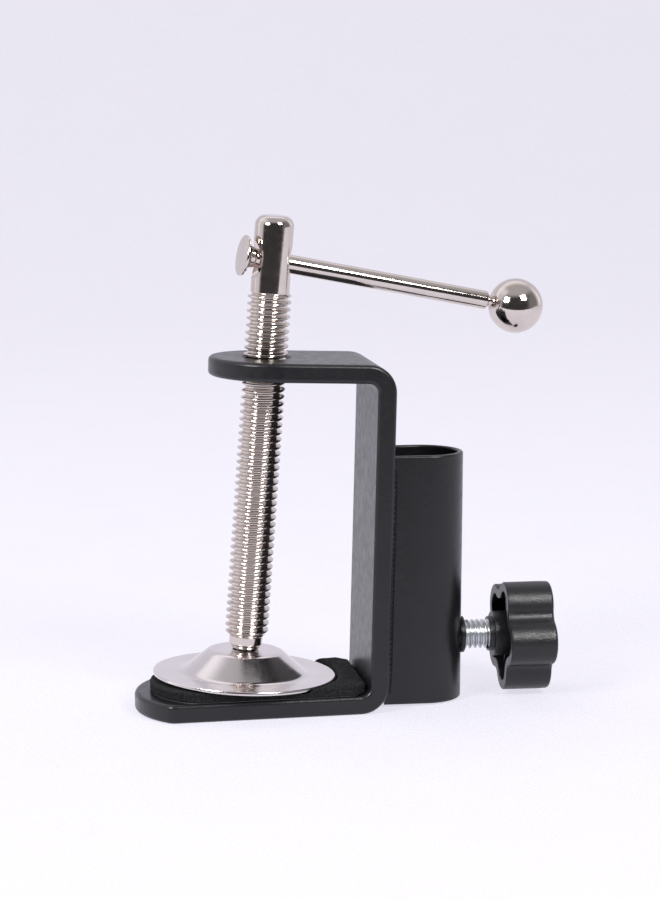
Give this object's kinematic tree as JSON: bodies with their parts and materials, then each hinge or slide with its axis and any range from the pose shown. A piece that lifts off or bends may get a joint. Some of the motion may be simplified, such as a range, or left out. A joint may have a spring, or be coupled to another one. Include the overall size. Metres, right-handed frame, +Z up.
{
  "type": "table clamp",
  "caption": "Bent steel table clamp with a screw-down swivel pad, a sliding tommy bar and a round post socket locked by a star-knob thumbscrew.",
  "frame": {"origin": "on the flat underside of the lower jaw, under the middle of the swivel pad", "axes": "+Z up, +X from the open side of the clamp towards the post socket, +Y to the back"},
  "size_m": [0.1132, 0.0491, 0.1309],
  "materials": {
    "powder_coat": "satin black powder coat",
    "foam": "matte closed-cell foam",
    "film": "matte adhesive film",
    "nickel": "bright nickel plate",
    "pressed_nickel": "satin nickel plate on pressed steel",
    "zinc": "bright zinc plate",
    "black_plastic": "fine textured moulded plastic"
  },
  "bodies": {
    "frame": {"clamp_bracket": "powder_coat", "foam_film": "film", "foam_pad": "foam", "socket_tube": "powder_coat", "tube_weld_beads": "powder_coat", "stud_bush": "powder_coat"},
    "pad_washer": {"pad_washer": "zinc"},
    "clamp_screw": {"clamp_screw": "nickel"},
    "tommy_bar": {"tommy_bar": "nickel", "bar_ball": "nickel"},
    "swivel_pad": {"swivel_pad": "pressed_nickel"},
    "thumb_stud": {"thumb_stud": "zinc"},
    "star_knob": {"star_knob": "black_plastic"}
  },
  "joints": [
    {"name": "screw_travel", "type": "slide", "parent": "frame", "child": "pad_washer", "axis": [0.0775, -0.04, 0.9962], "range_m": [0, 0.0695]},
    {"name": "screw_turn", "type": "hinge", "parent": "pad_washer", "child": "clamp_screw", "pos_m": [-0.00036, 0.00344, 0.008], "axis": [0.0775, -0.04, 0.9962], "range_deg": [0, 12960]},
    {"name": "pad_tilt", "type": "hinge", "parent": "pad_washer", "child": "swivel_pad", "pos_m": [0.00015, 0.00317, 0.01457], "axis": [0, 1, 0], "range_deg": [-3.5, 2], "deforming": ["foam_pad"]},
    {"name": "tommy_bar_slide", "type": "slide", "parent": "clamp_screw", "child": "tommy_bar", "axis": [0.9676, 0.1463, -0.2057], "range_m": [-0.0535, 0]},
    {"name": "stud_travel", "type": "slide", "parent": "frame", "child": "thumb_stud", "axis": [0.9999, 0, -0.0157], "range_m": [-0.0058, 0.0015]},
    {"name": "knob_turn", "type": "hinge", "parent": "thumb_stud", "child": "star_knob", "pos_m": [0.04763, 0, 0.01678], "axis": [0.9999, 0, -0.0157], "range_deg": [-1440, 360]}
  ],
  "couplings": [
    {"joint": "screw_travel", "follows": "screw_turn", "m_per_rad": 0.00030558},
    {"joint": "stud_travel", "follows": "knob_turn", "m_per_rad": 0.00022441}
  ]
}
